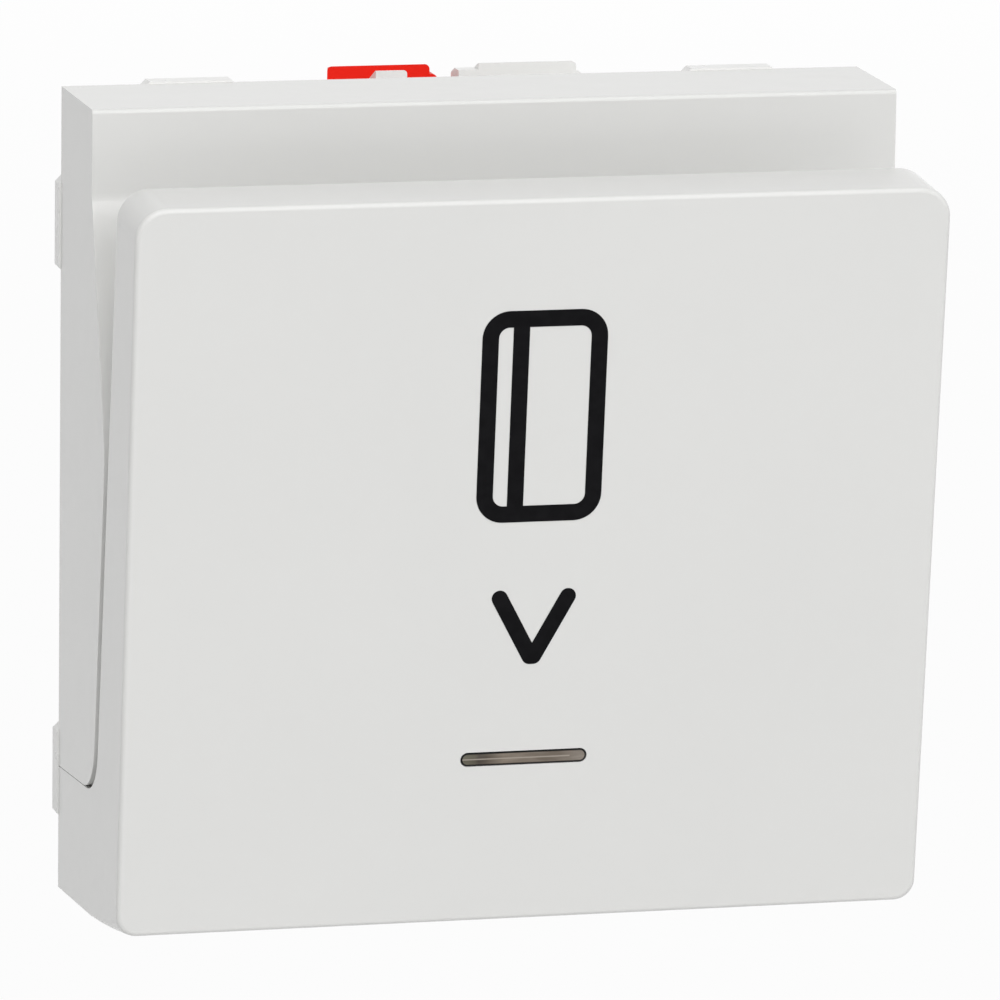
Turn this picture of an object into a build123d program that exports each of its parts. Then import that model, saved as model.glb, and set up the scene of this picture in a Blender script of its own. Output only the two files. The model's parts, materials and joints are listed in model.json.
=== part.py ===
from build123d import *
import math
import os

# Hotel key card switch: a snap-in module for a mounting frame, in millimetres.
# X runs to the right seen from the front, Y into the wall, Z up.
# The origin is the middle of the seat plane, where the flange meets the mounting frame.

# Module outline
module_width = 45.0
module_height = 44.8
side_draft = 0.53
flange_thickness = 1.2
wall = 1.3
overrun = 6.0

# Front cover, measured forward from the front face of the flange
cover_reach_top = 19.15
cover_reach_foot = 15.13
cover_top_drop = 3.6
cover_top_ease = 1.6
cover_foot_rise = 0.9
slab_thickness_top = 4.66
slab_thickness_foot = 6.14
cover_corner_radius = 1.7
cover_foot_corner_radius = 1.65
fading_corner_shares = ((1, 1), (1 / 2, 1 / 3), (0, 1 / 33))
cover_edge_radius = 0.25
block_height = 6.9
seam_draft = 3.9
seam_gap = 0.04
pocket_corner_radius = 3.0
plate_thickness = 1.2
plate_rebate = 0.5
plate_clearance = 0.08
plate_foot_rise = 11.2

# Card guide body
block_depth = 8.0
block_top_draft = 0.3
guide_top_drop = 4.8
guide_tilt = 14.8
card_gap = 0.9
crease_radius = 1.6
neck_radius = 8.0
foot_plate_thickness = 1.4
foot_plate_clearance = 0.15
block_edge_radius = 0.25

# Snap tongues that hold the front cover
tongue_x = 12.0
tongue_width = 6.0
tongue_thickness = 1.1
tongue_length = 7.0
barb_length = 1.2
barb_height = 0.6
barb_clearance = 0.15

# Indicator bar in the front cover
indicator_x = -0.15
indicator_rise = 10.09
indicator_length = 7.04
indicator_height = 0.8
indicator_clearance = 0.05
indicator_flange = 1.0
indicator_flange_thickness = 0.8
guide_plate_thickness = 1.7
guide_leg_thickness = 1.5
guide_led_width = 3.4
guide_air_gap = 0.3
guide_bevel = 1.2

# Card lever and its pin
pivot_y = -7.2
pivot_z = 6.0
pin_radius = 0.8
pin_fit = 0.02
lever_bore_fit = 0.06
hub_radius = 1.9
hub_half_width = 3.0
lever_half_width = 2.2
lever_thickness = 1.8
ear_thickness = 1.4
ear_gap = 0.12
ear_radius = 2.0
pin_end = 0.3
nose_reach = 1.85
nose_tip_z = -6.8
nose_height = 6.2
nose_root_radius = 0.8
nose_window_side = 0.4
nose_window_top_share = 0.12
nose_window_height = 8.7
lever_foot_drop = 1.8
pad_radius = 1.0

# Lever spring and its post
spring_wire = 0.42
spring_wire_sides = 6
spring_coil_radius = 1.3
spring_turns = 5
spring_switch_gap = 0.49
spring_post_radius = 1.7
spring_post_y = -1.2
spring_peg_radius = 0.8
spring_peg_length = 1.4
spring_end_gap = 0.03

# Snap switch
switch_half_width = 3.2
switch_length = 19.8
switch_depth = 10.6
switch_front_y = -3.2
switch_centre_z = 2.5
switch_edge = 0.5
switch_hole_radius = 1.1
switch_hole_inset = 5.6
switch_hole_depth_share = 0.7
button_z = -1.5
button_half_width = 1.5
button_half_height = 0.8
button_fit = 0.06
button_reach = 1.7
button_inside = 2.4
button_gap = 0.04
tab_pitch = 7.4
tab_width = 2.8
tab_thickness = 0.5
tab_length = 4.0
tab_hole_radius = 0.6

# Mechanism housing behind the flange
flange_inset = 0.4
flange_corner = 0.5
housing_depth = 20.0
housing_wall = 1.5
rear_wall = 1.6
housing_corner = 4.0
housing_rear_edge = 1.0
flange_land_x = 3.0
flange_land_z = 2.3
collar_step_x = 1.5
collar_step_z = 1.6
collar_depth = 3.0
recess_depth = 1.5
deck_half_width = 8.6
deck_wall = 1.0
rib_thickness = 1.2
rib_x = 8.0
rib_front_y = 7.0
lug_offset = 15.3
lug_side_drop = 0.6
lug_length = 5.3
lug_proud = 0.1
lug_bevel = 0.35

# White snap hooks of the housing
hook_y = 3.0
hook_ramp = 24.0
hook_land = 0.15
hook_depth = 1.8
hook_root = 1.1
finger_low_x = -3.95
finger_high_x = -2.17
finger_rise = 2.02
finger_depth = 2.0
finger_top_radius = 0.18
step_low_x = 0.77
step_mid_x = 1.9
step_high_x = 7.5
step_end_x = 8.05
step_low_rise = 1.95
step_top_rise = 2.32
step_end_rise = 1.8
step_foot_rise = 1.5
hook_top_radius = 0.3

# Release latches
latch_y = 5.2
latch_depth = 2.6
latch_low_x = -6.2
latch_step_one_x = -0.35
latch_step_two_x = 0.1
latch_rise = 2.0
latch_step_rise = 1.43
latch_side_taper = 18.0
latch_root = 3.5
latch_shoulder = 0.8
latch_shoulder_height = 1.2
latch_clearance = 0.2
latch_top_radius = 0.3
latch_pocket_wall = 1.0
latch_pocket_depth = 6.5
latch_spring_strip = 0.3
latch_spring_gap = 0.04

# Switch carrier
carrier_y = 5.5
carrier_thickness = 1.5
carrier_clearance = 0.2
cheek_thickness = 1.2
cheek_front_y = -0.5
peg_fit = 0.1
peg_length = 4.0
post_radius = 1.4
post_tip_radius = 0.6
post_one_x = -7.6
post_one_rise = 5.25
post_two_x = -3.2
post_two_rise = 3.25

# Indicator board
board_y = -0.2
board_thickness = 1.0
board_left_x = -9.5
board_right_x = 5.5
board_foot_gap = 0.15
board_height = 7.1
led_width = 3.2
led_height = 1.5
led_depth = 0.9
led_edge = 0.15
resistor_x = -6.3
resistor_rise = 2.55
resistor_length = 3.2
resistor_height = 1.6
resistor_depth = 0.6
resistor_cap = 0.45
lead_radius = 0.4
lead_hole = 0.4
lead_bend = 1.2
neutral_lead_x = -5.4
neutral_lead_rise = 5.85
switched_lead_x = 1.1
switched_lead_rise = 6.45

# Terminals, given for the upper right one
bar_rib_gap = 0.2
bar_side_gap = 0.5
bar_top_gap = 1.4
bar_foot_gap = 0.6
bar_back_gap = 0.8
bar_foot_step = 4.4
bar_thickness = 0.8
bar_front_y = 8.0
bar_bend = 0.9
tail_half_height = 1.4
strip_thickness = 0.4
strip_width = 5.8
strip_bend = 1.3
strip_anchor_drop = 5.2
strip_foot_gap = 0.4
strip_back_gap = 1.8
strip_tip_share = 0.29
strip_gap = 0.05
wire_bar_gap = 0.1
wire_hole_radius = 1.8
wire_funnel = 0.4
release_width = 4.4
release_height = 4.0
release_fit = 0.15
release_nose_gap = 0.2
release_shoulder = 0.6
release_shoulder_depth = 1.0

# Snap arms that hold the body in the housing
arm_z = 9.0
arm_width = 5.0
arm_thickness = 1.2
arm_gap = 0.4
arm_root_y = -3.6
arm_root_depth = 1.2
arm_tip_y = 5.2
arm_barb = 0.9
arm_barb_length = 1.6
arm_window_clearance = 0.3

# Worked out from the sizes above
body_back = -flange_thickness
half_width = module_width / 2
half_height = module_height / 2
front_top = (body_back - cover_reach_top, half_height - cover_top_drop)
front_foot = (body_back - cover_reach_foot, -half_height + cover_foot_rise)
slab_back_top = (front_top[0] + slab_thickness_top, front_top[1])
slab_back_foot = (front_foot[0] + slab_thickness_foot, front_foot[1])
cover_tilt = math.atan2(cover_reach_top - cover_reach_foot, front_top[1] - front_foot[1])
seam_back_z = -half_height + block_height
guide_start_z = half_height - guide_top_drop
block_front_y = body_back - block_depth
inner_half_width = half_width - wall - (cover_reach_top * math.tan(math.radians(side_draft)))
indicator_z = -half_height + indicator_rise
plate_foot_z = -half_height + plate_foot_rise
collar_half_x = half_width - flange_land_x
collar_half_z = half_height - flange_land_z
tub_half_x = collar_half_x - collar_step_x
tub_half_z = collar_half_z - collar_step_z
tub_inner_x = tub_half_x - housing_wall
tub_inner_z = tub_half_z - housing_wall
rear_inner_y = housing_depth - rear_wall
deck_top_z = collar_half_z
deck_ceiling_z = deck_top_z - housing_wall

# Heights of the hooks and latches over the deck
hook_foot_z = deck_top_z - hook_root
finger_top_z = deck_top_z + finger_rise
step_low_z = deck_top_z + step_low_rise
step_top_z = deck_top_z + step_top_rise
step_end_z = deck_top_z + step_end_rise
step_foot_z = deck_top_z + step_foot_rise
latch_top_z = deck_top_z + latch_rise
latch_step_z = deck_top_z + latch_step_rise
latch_foot_z = deck_top_z - latch_root
latch_pocket_floor_z = deck_top_z - latch_pocket_depth

# Places on the indicator board, over its foot
board_foot_z = -(collar_half_z - housing_wall - board_foot_gap)
led_z = board_foot_z + led_height / 2
resistor_z = board_foot_z + resistor_rise
neutral_lead_z = board_foot_z + neutral_lead_rise
switched_lead_z = board_foot_z + switched_lead_rise
post_places = (
    (post_one_x, board_foot_z + post_one_rise),
    (post_two_x, board_foot_z + post_two_rise),
)

# Spring under the snap switch, and the foot of the lever behind it
switch_foot_z = switch_centre_z - switch_length / 2
spring_z = switch_foot_z - spring_switch_gap - spring_coil_radius - spring_wire / 2
lever_foot_z = spring_z - lever_foot_drop

# Terminal chamber: bar, clamping strip, wire and button from the walls inwards
bar_near_x = rib_x + rib_thickness / 2 + bar_rib_gap
bar_far_x = tub_inner_x - bar_side_gap
bar_width = bar_far_x - bar_near_x
terminal_x = (bar_near_x + bar_far_x) / 2
bar_top_z = tub_inner_z - bar_top_gap
bar_foot_z = rib_thickness / 2 + bar_foot_gap
bar_back_y = rear_inner_y - bar_back_gap
bar_foot_back_y = bar_back_y - bar_foot_step
strip_anchor_y = bar_front_y + bar_thickness + strip_gap + strip_thickness / 2
strip_anchor_z = bar_top_z - strip_anchor_drop
strip_foot_z = bar_foot_z + bar_thickness + strip_foot_gap
strip_foot_y = bar_back_y - strip_back_gap
strip_tip_y = strip_anchor_y + (strip_foot_y - strip_anchor_y) * strip_tip_share
wire_z = bar_top_z - bar_thickness - wire_bar_gap - wire_hole_radius
release_z = (strip_foot_z + strip_thickness + wire_z - wire_hole_radius - wire_funnel) / 2


def line_y(first, second, z):
    """Y of the line through two (y, z) points at a height."""
    return first[0] + (second[0] - first[0]) * (z - first[1]) / (second[1] - first[1])


def crossing(a, b, c, d):
    """Point where the line through a and b meets the line through c and d."""
    turn = (a[0] - b[0]) * (c[1] - d[1]) - (a[1] - b[1]) * (c[0] - d[0])
    first = a[0] * b[1] - a[1] * b[0]
    second = c[0] * d[1] - c[1] * d[0]
    across = (first * (c[0] - d[0]) - (a[0] - b[0]) * second) / turn
    along = (first * (c[1] - d[1]) - (a[1] - b[1]) * second) / turn
    return (across, along)


def half_width_at(y):
    """Half width of the drafted sides at a depth."""
    return half_width - (body_back - y) * math.tan(math.radians(side_draft))


def seam_z(y):
    """Height of the seam between body and cover block."""
    return seam_back_z + (body_back - y) * math.tan(math.radians(seam_draft))


def foot_z(y):
    """Height of the cover's underside."""
    return -half_height + (body_back - y) * cover_foot_rise / cover_reach_foot


def top_z(y):
    """Height of the body's top face."""
    return half_height - (body_back - y) * math.tan(math.radians(block_top_draft))


def slab_back_y(z):
    """Back face of the cover's slab, which is the front wall of the card slot."""
    return line_y(slab_back_top, slab_back_foot, z)


def neck_y(z):
    """Face of the card guide where it runs along the slab."""
    return slab_back_y(z) + card_gap


def front_y(z):
    """Front face of the cover."""
    return line_y(front_top, front_foot, z)


def outline(points):
    """Closed flat outline from two-number points."""
    return make_face(Polyline(*points, close=True))


def rounded(shape, corners):
    """Round named corners of a flat outline, each with its own radius."""
    for point, radius in corners:
        shape = fillet(shape.vertices().sort_by_distance(point)[0], radius)
    return shape


def across_x(shape, half):
    """Solid from a side outline given as (y, z), as wide as twice the half."""
    return extrude(Plane.YZ * shape, half, both=True)


def block(x_low, x_high, y_low, y_high, z_low, z_high):
    """Rectangular solid between two corners."""
    centre = ((x_low + x_high) / 2, (y_low + y_high) / 2, (z_low + z_high) / 2)
    return Pos(*centre) * Box(x_high - x_low, y_high - y_low, z_high - z_low)


def rod_x(radius, x_low, x_high, y, z):
    """Round bar along X."""
    return Pos((x_low + x_high) / 2, y, z) * Rot(0, 90, 0) * Cylinder(radius, x_high - x_low)


def rod_y(radius, y_low, y_high, x, z):
    """Round bar along Y."""
    return Pos(x, (y_low + y_high) / 2, z) * Rot(90, 0, 0) * Cylinder(radius, y_high - y_low)


def half_turned(shape):
    """The same shape at the opposite edge, turned half round about Y."""
    return Rot(0, 180, 0) * shape


def drafted_sides(y_front, y_back):
    """Tall wedge with the drafted sides of the module, seen from above."""
    points = [
        (-half_width_at(y_back), y_back),
        (half_width_at(y_back), y_back),
        (half_width_at(y_front), y_front),
        (-half_width_at(y_front), y_front),
    ]
    return extrude(outline(points), module_height, both=True)


neck_top = crossing(
    (block_front_y, guide_start_z),
    (block_front_y - math.tan(math.radians(guide_tilt)), guide_start_z - 1),
    (neck_y(half_height), half_height),
    (neck_y(-half_height), -half_height),
)
neck_foot = crossing(
    (neck_y(half_height), half_height),
    (neck_y(-half_height), -half_height),
    (body_back, seam_z(body_back)),
    (front_top[0], seam_z(front_top[0])),
)


def body_outline(back):
    """Side outline of the card guide body, running back to a given depth."""
    points = [
        (back, top_z(back)),
        (block_front_y, top_z(block_front_y)),
        (block_front_y, guide_start_z),
        neck_top,
        neck_foot,
        (back, seam_z(back)),
    ]
    corners = [
        (points[2], crease_radius),
        (neck_top, neck_radius),
        (neck_foot, pocket_corner_radius),
    ]
    return rounded(outline(points), corners)


def cover_outline(back):
    """Side outline of the front cover: tilted slab over a block that runs back."""
    top_slope = cover_tilt - math.radians(cover_top_ease)
    edge_end = (front_top[0] + math.cos(top_slope), front_top[1] + math.sin(top_slope))
    top_back = crossing(front_top, edge_end, slab_back_top, slab_back_foot)
    inner = crossing(
        slab_back_top,
        slab_back_foot,
        (body_back, seam_z(body_back) - seam_gap),
        (front_top[0], seam_z(front_top[0]) - seam_gap),
    )
    points = [
        front_top,
        top_back,
        inner,
        (back, seam_z(back) - seam_gap),
        (back, foot_z(back)),
        front_foot,
    ]
    return rounded(outline(points), [(inner, pocket_corner_radius)])


def front_plane(z):
    """Plane on the cover's tilted front face at the indicator, looking outwards."""
    outward = (0, -math.cos(cover_tilt), -math.sin(cover_tilt))
    return Plane(origin=(indicator_x, front_y(z), z), x_dir=(1, 0, 0), z_dir=outward)


def foot_corner_cut(side):
    """Rounding of a lower corner of the cover that fades out towards the back."""
    sections = []
    back = slab_back_foot[0]
    front = front_foot[0] - wall
    for place_share, radius_share in fading_corner_shares:
        y = back + (front - back) * place_share
        radius = cover_foot_corner_radius * radius_share
        corner_x = side * half_width_at(y)
        corner_z = foot_z(y)
        centre = (corner_x - side * radius, corner_z + radius)
        middle = (
            centre[0] + side * radius * math.sqrt(1 / 2),
            centre[1] - radius * math.sqrt(1 / 2),
        )
        ends = ((corner_x, centre[1]), (centre[0], corner_z))
        outside = (corner_x + side * wall, corner_z - wall)
        edges = [
            ThreePointArc(ends[0], middle, ends[1]),
            Line(ends[1], (centre[0], outside[1])),
            Line((centre[0], outside[1]), outside),
            Line(outside, (outside[0], centre[1])),
            Line((outside[0], centre[1]), ends[0]),
        ]
        plane = Plane(origin=(0, y, 0), x_dir=(1, 0, 0), z_dir=(0, -1, 0))
        sections.append(plane * make_face(edges))
    return loft(sections)


def plate_profile(clearance, depth):
    """Side outline of the inner plate, or of its seat with no clearance."""
    top = front_top[1] - wall + plate_rebate - clearance
    foot = plate_foot_z + clearance
    points = [
        (slab_back_y(top), top),
        (slab_back_y(foot), foot),
        (slab_back_y(foot) - depth, foot),
        (slab_back_y(top) - depth, top),
    ]
    return outline(points)


def tongue_foot_z():
    """Underside of the snap tongues, just above the cover's inner floor."""
    return foot_z(tongue_tip_y()) + wall + foot_plate_clearance


def tongue_tip_y():
    """Front end of the snap tongues."""
    return body_back - foot_plate_thickness - tongue_length


def front_cover():
    """Glossy outer shell with the indicator slot."""
    shell = across_x(cover_outline(body_back), half_width + wall)
    shell = shell & drafted_sides(front_top[0] - wall, body_back + overrun)
    top_edges = shell.edges().filter_by(
        lambda edge: edge.center().Z > front_top[1] and abs(edge.center().X) > inner_half_width
    )
    shell = fillet(top_edges, cover_corner_radius)
    for side in (-1, 1):
        shell = shell - foot_corner_cut(side)
    front_face = shell.faces().sort_by(lambda face: face.center().Y - face.area / module_height)[0]
    shell = fillet(front_face.edges(), cover_edge_radius)
    cavity = offset(cover_outline(body_back + wall * 2), -wall, kind=Kind.INTERSECTION)
    shell = shell - across_x(cavity, inner_half_width)
    opening_top = front_top[1] - wall
    opening = outline([
        (slab_back_y(opening_top) - wall * 2, opening_top),
        (slab_back_y(opening_top) + wall, opening_top),
        (slab_back_y(plate_foot_z) + wall, plate_foot_z),
        (slab_back_y(plate_foot_z) - wall * 2, plate_foot_z),
    ])
    shell = shell - across_x(opening, inner_half_width)
    shell = shell - across_x(plate_profile(0, plate_thickness), inner_half_width + plate_rebate)
    rim_low = foot_z(body_back) + wall
    rim_high = seam_back_z + wall
    rim_front = body_back - foot_plate_thickness - foot_plate_clearance
    shell = shell - block(
        -inner_half_width, inner_half_width, rim_front, body_back + wall, rim_low, rim_high
    )
    for side in (-1, 1):
        shell = shell - barb(side, barb_clearance)
    slot = SlotOverall(indicator_length, indicator_height)
    return shell - extrude(front_plane(indicator_z) * slot, wall * 3 / 2, both=True)


def slot_plate():
    """Inner plate that closes the cover's back and has the window for the lever nose."""
    plate = across_x(
        plate_profile(plate_clearance, plate_thickness),
        inner_half_width + plate_rebate - plate_clearance,
    )
    low, high = nose_window()
    side = lever_half_width + nose_window_side
    window_y = slab_back_y(nose_tip_z)
    return plate - block(-side, side, window_y - overrun, window_y + overrun, low, high)


def nose_window():
    """Lowest and highest point of the openings that the lever nose stands in."""
    high = nose_tip_z + nose_height * (1 / 2 + nose_window_top_share)
    return high - nose_window_height, high


def indicator_lens():
    """Smoked bar, flush in the slot, with a flange behind the front skin."""
    gap = 2 * indicator_clearance
    bar = SlotOverall(indicator_length - gap, indicator_height - gap)
    flange = SlotOverall(indicator_length + 2 * indicator_flange, indicator_height + 2 * indicator_flange)
    plane = front_plane(indicator_z)
    lens = extrude(plane * bar, -(wall + indicator_clearance))
    back = plane.offset(-(wall + indicator_clearance))
    return lens + extrude(back * flange, -indicator_flange_thickness)


def light_guide():
    """Clear guide that carries the lamp's light down and round to the lens."""
    skin = wall + indicator_clearance * 2 + indicator_flange_thickness
    top = indicator_z + indicator_flange + indicator_height / 2
    leg_top = led_z + guide_leg_thickness / 2
    leg_foot = led_z - guide_leg_thickness / 2
    end_y = board_y - led_depth - guide_air_gap
    lean = math.cos(cover_tilt)
    points = [
        (front_y(top) + skin / lean, top),
        (front_y(top) + skin / lean + guide_plate_thickness, top),
        (front_y(leg_top) + skin / lean + guide_plate_thickness, leg_top),
        (end_y, leg_top),
        (end_y, leg_foot),
        (front_y(leg_foot) + skin / lean + guide_bevel, leg_foot),
        (front_y(leg_foot + guide_bevel) + skin / lean, leg_foot + guide_bevel),
    ]
    guide = across_x(outline(points), indicator_length / 2)
    flare = outline([
        (-indicator_length / 2, front_y(top)),
        (indicator_length / 2, front_y(top)),
        (indicator_length / 2, front_y(leg_foot) + skin + guide_plate_thickness),
        (guide_led_width / 2, end_y),
        (-guide_led_width / 2, end_y),
        (-indicator_length / 2, front_y(leg_foot) + skin + guide_plate_thickness),
    ])
    return guide & extrude(flare, module_height, both=True)


def barb(side, grow):
    """Catch at the end of a snap tongue, or its pocket in the cover when grown."""
    reach = tongue_width / 2 + grow
    tip = tongue_tip_y()
    low = tongue_foot_z() - barb_height - grow
    return block(
        side * tongue_x - reach,
        side * tongue_x + reach,
        tip - grow,
        tip + barb_length + grow,
        low,
        tongue_foot_z(),
    )


def snap_arm(side, level):
    """Arm that reaches from the body into the housing and hooks in its side wall."""
    outer = tub_inner_x - arm_gap
    low = level * arm_z - arm_width / 2
    high = level * arm_z + arm_width / 2
    wall_x = half_width_at(arm_root_y) - wall / 2
    points = [
        (outer - arm_thickness, arm_root_y),
        (wall_x, arm_root_y),
        (wall_x, arm_root_y + arm_root_depth),
        (outer, arm_root_y + arm_root_depth),
        (outer, arm_tip_y - arm_barb_length),
        (outer + arm_barb, arm_tip_y - arm_barb_length),
        (outer, arm_tip_y),
        (outer - arm_thickness, arm_tip_y),
    ]
    profile = outline([(side * x, y) for x, y in points])
    return Pos(0, 0, low) * extrude(profile, high - low)


def card_guide_body():
    """Upper block, side walls and card guide, hollow and open at the back."""
    shell = across_x(body_outline(body_back), half_width + wall)
    shell = shell & drafted_sides(neck_top[0] - wall, body_back + overrun)
    top_front = shell.edges().filter_by(
        lambda edge: edge.center().Z > guide_start_z and edge.center().Y < block_front_y + wall
        and abs(edge.center().X) < wall
    )
    shell = fillet(top_front.sort_by(Axis.Z)[-1], block_edge_radius)
    cavity = offset(body_outline(body_back + wall * 2), -wall, kind=Kind.INTERSECTION)
    shell = shell - across_x(cavity, inner_half_width)
    shell = shell + foot_plate()
    for side in (-1, 1):
        shell = shell + pin_ear(side)
        for level in (-1, 1):
            shell = shell + snap_arm(side, level)
    low, high = nose_window()
    side = lever_half_width + nose_window_side
    middle_y = neck_y(nose_tip_z)
    shell = shell - block(-side, side, middle_y - wall * 2, middle_y + wall * 2, low, high)
    return shell - rod_x(pin_radius + pin_fit, -half_width / 2, half_width / 2, pivot_y, pivot_z)


def pin_ear(side):
    """Ear behind the guide face that carries one end of the lever pin."""
    inner = hub_half_width + ear_gap
    slope = math.tan(math.radians(guide_tilt))
    skin = block_front_y - slope * (guide_start_z - pivot_z - ear_radius) + wall / 2
    low_x, high_x = sorted((side * inner, side * (inner + ear_thickness)))
    web = block(low_x, high_x, skin, pivot_y, pivot_z - ear_radius, pivot_z + ear_radius)
    return web + rod_x(ear_radius, low_x, high_x, pivot_y, pivot_z)


def foot_plate():
    """Plate behind the cover block with the snap tongues and the light guide window."""
    reach = inner_half_width - foot_plate_clearance
    front = body_back - foot_plate_thickness
    low = foot_z(front) + wall + foot_plate_clearance
    plate = block(-reach, reach, front, body_back, low, seam_back_z + wall / 2)
    for side in (-1, 1):
        low_x = side * tongue_x - tongue_width / 2
        high_x = side * tongue_x + tongue_width / 2
        under = tongue_foot_z()
        plate = plate + block(low_x, high_x, tongue_tip_y(), front, under, under + tongue_thickness)
        plate = plate + barb(side, 0)
    side = (guide_led_width + indicator_length) / 4 + foot_plate_clearance
    tall = guide_leg_thickness / 2 + foot_plate_clearance * 2
    return plate - block(-side, side, front - wall, body_back + wall, led_z - tall, led_z + tall)


def lever_back_y():
    """Back face of the lever's arm at the pivot's height."""
    return pivot_y + lever_thickness / 2


def card_lever():
    """Lever with the hub on the pin, the nose in the card slot and its foot on the spring."""
    front = pivot_y - lever_thickness / 2
    back = lever_back_y()
    nose_top = nose_tip_z + nose_height / 2
    nose_foot = nose_tip_z - nose_height * 2 / 5
    tip = (neck_y(nose_tip_z) - nose_reach, nose_tip_z)
    points = [
        (front, pivot_z),
        (back, pivot_z),
        (back, lever_foot_z),
        (front, lever_foot_z),
        (front, nose_foot),
        (front - wall, nose_foot),
        (tip[0] + wall / 3, tip[1] - nose_height / 4),
        tip,
        (front - wall / 2, nose_top),
        (front, nose_top + wall / 2),
    ]
    arm = rounded(outline(points), [(tip, nose_root_radius), (points[6], nose_root_radius / 2)])
    lever = across_x(arm, lever_half_width)
    lever = lever + rod_x(hub_radius, -hub_half_width, hub_half_width, pivot_y, pivot_z)
    pad_y = pad_back_y() - pad_radius
    lever = lever + rod_x(pad_radius, -lever_half_width, lever_half_width, pad_y, button_z)
    return lever - rod_x(pin_radius + lever_bore_fit, -half_width / 2, half_width / 2, pivot_y, pivot_z)


def pad_back_y():
    """Where the lever's round pad touches the switch button."""
    return switch_front_y - button_reach - button_gap


def lever_pivot_pin():
    """Steel pin through both ears and the lever's hub."""
    reach = hub_half_width + ear_gap + ear_thickness + pin_end
    pin = rod_x(pin_radius, -reach, reach, pivot_y, pivot_z)
    return chamfer(pin.edges(), pin_end / 2)


def lever_spring():
    """Coil spring between the carrier's post and the foot of the lever."""
    start = spring_post_y - spring_end_gap - spring_wire / 2
    end = lever_back_y() + spring_end_gap + spring_wire / 2
    quarters = spring_turns * 4
    rise = (end - start) / quarters

    def on_coil(quarter):
        angle = math.radians(quarter * 90)
        across = spring_coil_radius * math.cos(angle)
        up = spring_z + spring_coil_radius * math.sin(angle)
        return Vector(across, start + rise * quarter, up)

    arcs = [
        ThreePointArc(on_coil(step), on_coil(step + 1 / 2), on_coil(step + 1))
        for step in range(quarters)
    ]
    path = Wire(arcs)
    wire = RegularPolygon(spring_wire / 2, spring_wire_sides)
    return sweep(Plane(origin=path @ 0, z_dir=path % 0) * wire, path=path)


def mechanism_housing():
    """Rear tub with its flange, collar, hooks, latch pockets, terminal ribs and wire holes."""
    flange = flange_plate()
    tub = extrude(
        Plane.XZ * RectangleRounded(tub_half_x * 2, tub_half_z * 2, housing_corner), -housing_depth
    )
    rear_edges = tub.edges().filter_by(lambda edge: edge.center().Y > housing_depth - wall)
    tub = chamfer(rear_edges, housing_rear_edge)
    inner = RectangleRounded(tub_inner_x * 2, tub_inner_z * 2, housing_corner - housing_wall)
    cavity = extrude(Plane.XZ.offset(flange_thickness) * inner, -(rear_inner_y + flange_thickness))
    shell = flange + tub + collar() - cavity - collar_recess()
    shell = shell + ribs()
    for turn in (False, True):
        hooks = deck() + snap_hooks() + latch_pocket()
        shell = shell + (half_turned(hooks) if turn else hooks)
    for turn in (False, True):
        slot = latch_slot()
        shell = shell - (half_turned(slot) if turn else slot)
    for side in (-1, 1):
        for level in (-1, 1):
            shell = shell - terminal_openings(side, level)
            shell = shell - arm_window(side, level)
    return shell


def collar():
    """Wider front end of the tub that centres the module in the frame's opening."""
    return extrude(
        Plane.XZ * RectangleRounded(collar_half_x * 2, collar_half_z * 2, housing_corner), -collar_depth
    )


def collar_recess():
    """Wide mouth of the housing that leaves room for the indicator board."""
    mouth = RectangleRounded(
        (collar_half_x - housing_wall) * 2, (collar_half_z - housing_wall) * 2,
        housing_corner - housing_wall,
    )
    return extrude(Plane.XZ.offset(flange_thickness) * mouth, -(flange_thickness + recess_depth))


def deck():
    """Raised part of the upper wall that carries the hooks and guides the latch."""
    back = latch_y + latch_depth + latch_shoulder + latch_clearance + deck_wall
    foot = tub_inner_z + housing_wall / 2
    return block(-deck_half_width, deck_half_width, recess_depth, back, foot, deck_top_z)


def flange_plate():
    """Flange that rests on the mounting frame, with two lugs on each edge."""
    width = module_width - 2 * flange_inset
    height = module_height - 2 * flange_inset
    plate = extrude(Plane.XZ.offset(flange_thickness) * RectangleRounded(width, height, flange_corner),
                    -flange_thickness)
    for turn, half in ((0, half_height), (90, half_width), (180, half_height), (270, half_width)):
        drop = Pos(0, 0, -lug_side_drop) if half == half_width else Pos(0, 0, 0)
        for side in (-1, 1):
            plate = plate + drop * Rot(0, turn, 0) * lug(side * lug_offset, half)
    return plate


def lug(x, half):
    """Small lug with bevelled ends on the upper edge of the flange."""
    low = x - lug_length / 2
    high = x + lug_length / 2
    top = half + lug_proud
    points = [
        (low, half - flange_inset - wall),
        (high, half - flange_inset - wall),
        (high, top - lug_bevel),
        (high - lug_bevel, top),
        (low + lug_bevel, top),
        (low, top - lug_bevel),
    ]
    return extrude(Plane.XZ.offset(flange_thickness) * outline(points), -flange_thickness)


def ribs():
    """Walls of the four terminal chambers."""
    solid = None
    for side in (-1, 1):
        upright = block(
            side * rib_x - rib_thickness / 2, side * rib_x + rib_thickness / 2,
            rib_front_y, rear_inner_y, -tub_inner_z, tub_inner_z,
        )
        notch_low = rib_front_y - wall
        notch_high = bar_front_y + bar_thickness + carrier_clearance
        for level in tail_levels():
            if (level[0] < 0) == (side < 0):
                upright = upright - block(
                    side * rib_x - rib_thickness, side * rib_x + rib_thickness,
                    notch_low, notch_high,
                    level[1] - tail_half_height - carrier_clearance,
                    level[1] + tail_half_height + carrier_clearance,
                )
        low_x, high_x = sorted((side * rib_x, side * tub_inner_x))
        shelf = block(low_x, high_x, rib_front_y, rear_inner_y, -rib_thickness / 2, rib_thickness / 2)
        solid = upright + shelf if solid is None else solid + upright + shelf
    return solid


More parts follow.
